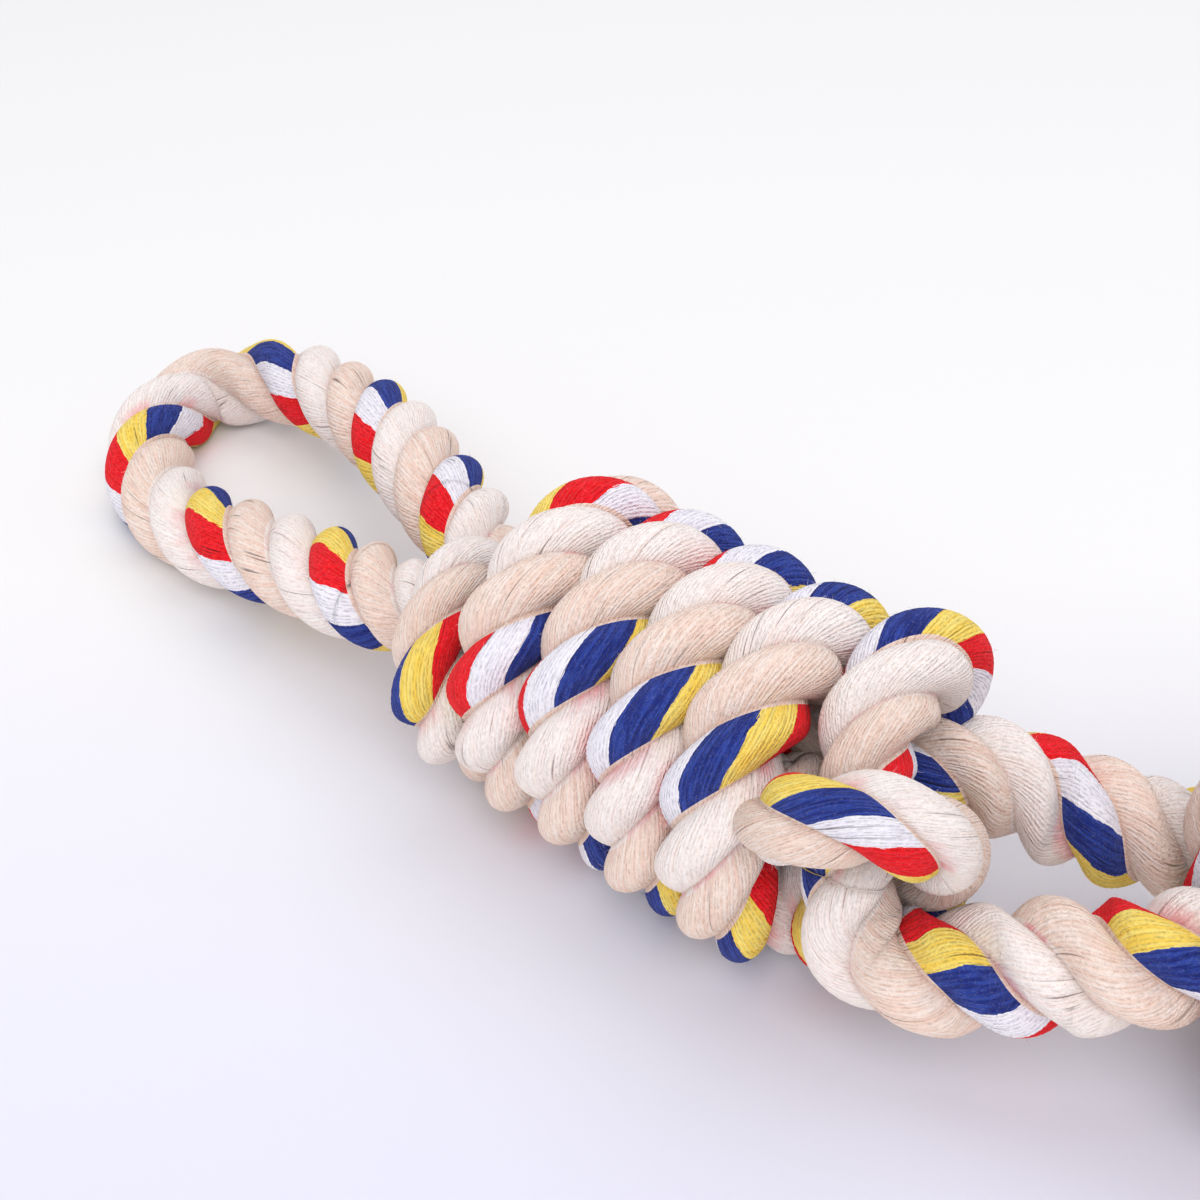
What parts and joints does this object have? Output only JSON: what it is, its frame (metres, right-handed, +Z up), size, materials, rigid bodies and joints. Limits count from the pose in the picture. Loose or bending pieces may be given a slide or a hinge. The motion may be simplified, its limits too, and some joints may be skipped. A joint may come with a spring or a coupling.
{
  "type": "rope dog toy",
  "caption": "Tug toy for dogs tied from one thick endless cotton rope, with a hand loop and a wound barrel knot at each end and two legs between the knots.",
  "frame": {"origin": "on the surface that the toy lies on, under the middle of the toy", "axes": "+X along the toy from the left hand loop to the right one, +Z up, +Y away from the viewer of the picture's front side"},
  "size_m": [0.7008, 0.1218, 0.0833],
  "materials": {
    "cotton_rope": "three-strand twisted cotton, one strand natural white, one beige and one of coloured yarns, matt and slightly fuzzy"
  },
  "bodies": {
    "left_knot": {"left_core_standing": "cotton_rope", "left_neck_near": "cotton_rope", "left_neck_far": "cotton_rope", "left_core_outward": "cotton_rope", "left_eye": "cotton_rope", "left_core_return": "cotton_rope", "left_wraps": "cotton_rope", "left_lock_tuck": "cotton_rope", "near_leg": "cotton_rope"},
    "left_handle": {"left_handle_loop": "cotton_rope"},
    "right_knot": {"right_core_standing": "cotton_rope", "right_neck_near": "cotton_rope", "right_neck_far": "cotton_rope", "right_core_outward": "cotton_rope", "right_eye": "cotton_rope", "right_core_return": "cotton_rope", "right_wraps": "cotton_rope", "right_lock_tuck": "cotton_rope", "far_leg": "cotton_rope"},
    "right_handle": {"right_handle_loop": "cotton_rope"}
  },
  "joints": [
    {"name": "mid_flex", "type": "hinge", "parent": "left_knot", "child": "right_knot", "pos_m": [0, 0, 0.034], "axis": [0, -1, 0], "range_deg": [-40, 40], "deforming": ["near_leg", "far_leg"]},
    {"name": "left_handle_flex", "type": "hinge", "parent": "left_knot", "child": "left_handle", "pos_m": [-0.174, -0.014, 0.035], "axis": [0, 1, 0], "range_deg": [-35, 60], "deforming": ["left_neck_near", "left_neck_far"]},
    {"name": "right_handle_flex", "type": "hinge", "parent": "right_knot", "child": "right_handle", "pos_m": [0.174, 0.014, 0.035], "axis": [0, -1, 0], "range_deg": [-35, 60], "deforming": ["right_neck_near", "right_neck_far"]}
  ]
}
